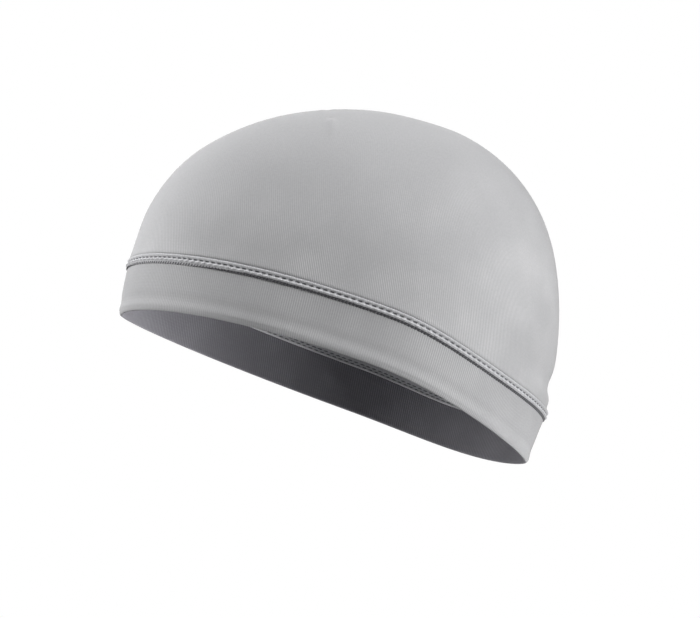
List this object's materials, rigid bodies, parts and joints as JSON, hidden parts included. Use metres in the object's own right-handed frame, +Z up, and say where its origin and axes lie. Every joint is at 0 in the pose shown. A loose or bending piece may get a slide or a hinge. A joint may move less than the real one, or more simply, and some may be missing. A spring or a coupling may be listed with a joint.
{
  "type": "helmet liner",
  "caption": "Close-fitting skull cap of stretch knit, worn under a helmet, with a doubled headband that falls towards the nape and a raised seam round it; hollow, shown as worn.",
  "frame": {"origin": "the highest point of the hollow, where the crown lies on the top of the wearer's head", "axes": "+Z up, -Y towards the wearer's forehead, +X to the wearer's left, on an upright head"},
  "size_m": [0.1524, 0.2019, 0.1616],
  "materials": {
    "crown_knit": "smooth fine stretch knit, light grey, matt",
    "band_knit": "the same knit doubled, light grey, matt",
    "seam_knit": "turned-in knit under overlock stitches, grey, matt"
  },
  "bodies": {
    "root": {"crown": "crown_knit", "headband": "band_knit", "seam_welt": "seam_knit"}
  },
  "joints": []
}
